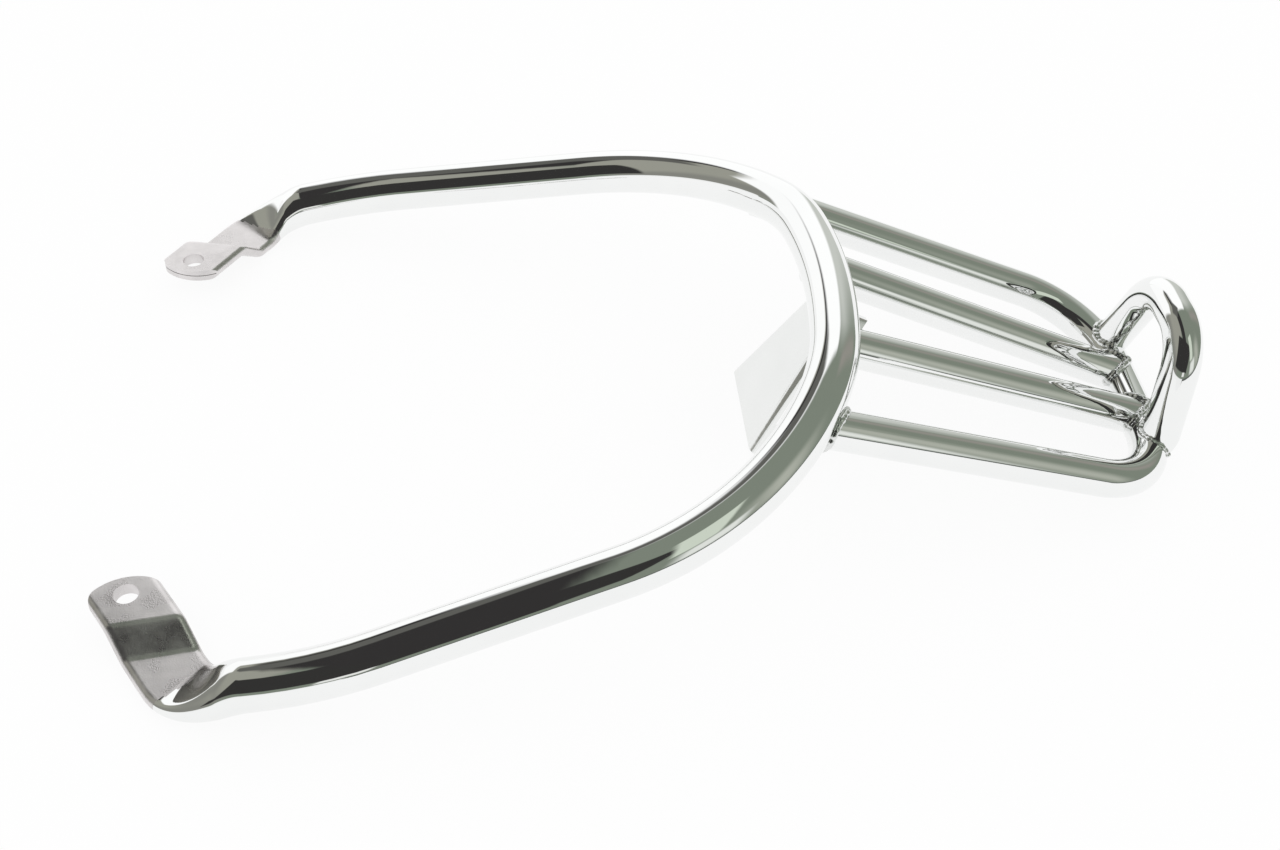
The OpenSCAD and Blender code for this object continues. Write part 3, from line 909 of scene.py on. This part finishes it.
# what stands round the table: where its middle is seen from the rack, in degrees from
# the far side and up, its reach in degrees, its brightness and the softness of its edge
roomCards = [
    # pale green wall right of the panel
    {"at": (30, 6), "size": (34, 84), "tone": (0.60, 0.62, 0.58), "soft": 0.5},
    # right wall
    {"at": (118, 22), "size": (22, 34), "tone": (0.44, 0.46, 0.40), "soft": 0.4},
    # darker patch of that wall
    {"at": (65, 30), "size": (12, 44), "tone": (0.30, 0.29, 0.26), "soft": 0.2},
    # left side of the room
    {"at": (-76, 33), "size": (96, 62), "tone": (0.335, 0.335, 0.29), "soft": 0.08},
    # its lower part
    {"at": (-85, 12), "size": (100, 20), "tone": (0.25, 0.25, 0.225), "soft": 0.25},
    # dark behind the camera
    {"at": (-153, 37), "size": (68, 48), "tone": (0.036, 0.035, 0.034), "soft": 0.05},
    # dark strip over the left side
    {"at": (-100, 70), "size": (156, 16), "tone": (0.036, 0.034, 0.034), "soft": 0.05},
    # lamp behind on the right
    {"at": (151, 47), "size": (15, 40), "tone": (0.64, 0.70, 0.60), "soft": 0.05},
    # pale patch below that lamp
    {"at": (143, 14), "size": (22, 20), "tone": (0.8, 0.82, 0.78), "soft": 0.15},
    # line where the floor ends on the right
    {"at": (150, 1), "size": (110, 3.5), "tone": (0.12, 0.13, 0.12), "soft": 0.03},
    # white lamp left of the panel
    {"at": (-36, 12), "size": (34, 36), "tone": (1.08, 1.08, 1.08), "soft": 0.08},
    # big white panel
    {"at": (0, 18), "size": (42, 90), "tone": (1.1, 1.1, 1.1), "soft": 0.12},
    # dark gap between the panel and the strip
    {"at": (-38, 50), "size": (22, 20), "tone": (0.12, 0.12, 0.11), "soft": 0.08},
    # small pale patch near the floor
    {"at": (-173, 9), "size": (11, 7), "tone": (0.85, 0.85, 0.83), "soft": 0.03},
    # line where the floor ends on the left
    {"at": (-120, 1), "size": (110, 6), "tone": (0.95, 0.95, 0.95), "soft": 0.03},
]


def wayTo(azimuth, elevation):
    a, e = radians(azimuth), radians(elevation)
    return Vector((sin(a) * cos(e), cos(a) * cos(e), sin(e)))


world = bpy.data.worlds.new("studioRoom")
scene.world = world
world.use_nodes = True
room = world.node_tree
room.nodes.clear()
roomWay = addNode(room, "ShaderNodeTexCoord").outputs["Generated"]


def roomMath(operation, first, second=None, third=None):
    made = addNode(room, "ShaderNodeMath", operation=operation)
    for slot, value in enumerate((first, second, third)):
        if value is None:
            continue
        if isinstance(value, (int, float)):
            made.inputs[slot].default_value = value
        else:
            room.links.new(value, made.inputs[slot])
    return made.outputs[0]


def roomDot(direction):
    made = addNode(room, "ShaderNodeVectorMath", operation="DOT_PRODUCT")
    made.inputs[1].default_value = direction
    room.links.new(roomWay, made.inputs[0])
    return made.outputs["Value"]


def addCard(colour, card):
    ahead = wayTo(*card["at"])
    side = Vector((cos(radians(card["at"][0])), -sin(radians(card["at"][0])), 0))
    over = ahead.cross(side)
    front = roomDot(ahead)
    near = roomMath("MAXIMUM", front, 0.001)
    masks = []
    for direction, reach in ((side, card["size"][0]), (over, card["size"][1])):
        off = roomMath("ABSOLUTE", roomMath("DIVIDE", roomDot(direction), near))
        angle = roomMath("ARCTANGENT", off)
        edge = addNode(room, "ShaderNodeMapRange", interpolation_type="SMOOTHSTEP")
        edge.inputs["From Min"].default_value = radians(reach / 2) + card["soft"] / 2
        edge.inputs["From Max"].default_value = radians(reach / 2) - card["soft"] / 2
        room.links.new(angle, edge.inputs["Value"])
        masks.append(edge.outputs["Result"])
    mask = roomMath("MULTIPLY", masks[0], masks[1])
    mask = roomMath("MULTIPLY", mask, roomMath("GREATER_THAN", front, 0.0))
    mix = addNode(room, "ShaderNodeMix", data_type="RGBA")
    mix.inputs["B"].default_value = (*card["tone"], 1)
    room.links.new(mask, mix.inputs["Factor"])
    if isinstance(colour, tuple):
        mix.inputs["A"].default_value = (*colour, 1)
    else:
        room.links.new(colour, mix.inputs["A"])
    return mix.outputs["Result"]


roomColour = studioSet["base"]
for card in roomCards:
    roomColour = addCard(roomColour, card)
roomPath = addNode(room, "ShaderNodeLightPath")
plainLight = addNode(room, "ShaderNodeMix", data_type="RGBA")
plain = studioSet["plain"]
plainLight.inputs["A"].default_value = (plain, plain, plain, 1)
plainLight.inputs["B"].default_value = (1, 1, 1, 1)
room.links.new(roomPath.outputs["Is Camera Ray"], plainLight.inputs["Factor"])
mirrored = addNode(room, "ShaderNodeMix", data_type="RGBA")
room.links.new(roomPath.outputs["Is Glossy Ray"], mirrored.inputs["Factor"])
room.links.new(plainLight.outputs["Result"], mirrored.inputs["A"])
room.links.new(roomColour, mirrored.inputs["B"])
background = addNode(room, "ShaderNodeBackground", Strength=1.0)
room.links.new(mirrored.outputs["Result"], background.inputs["Color"])
roomOut = addNode(room, "ShaderNodeOutputWorld")
room.links.new(background.outputs[0], roomOut.inputs["Surface"])
print("studio set")
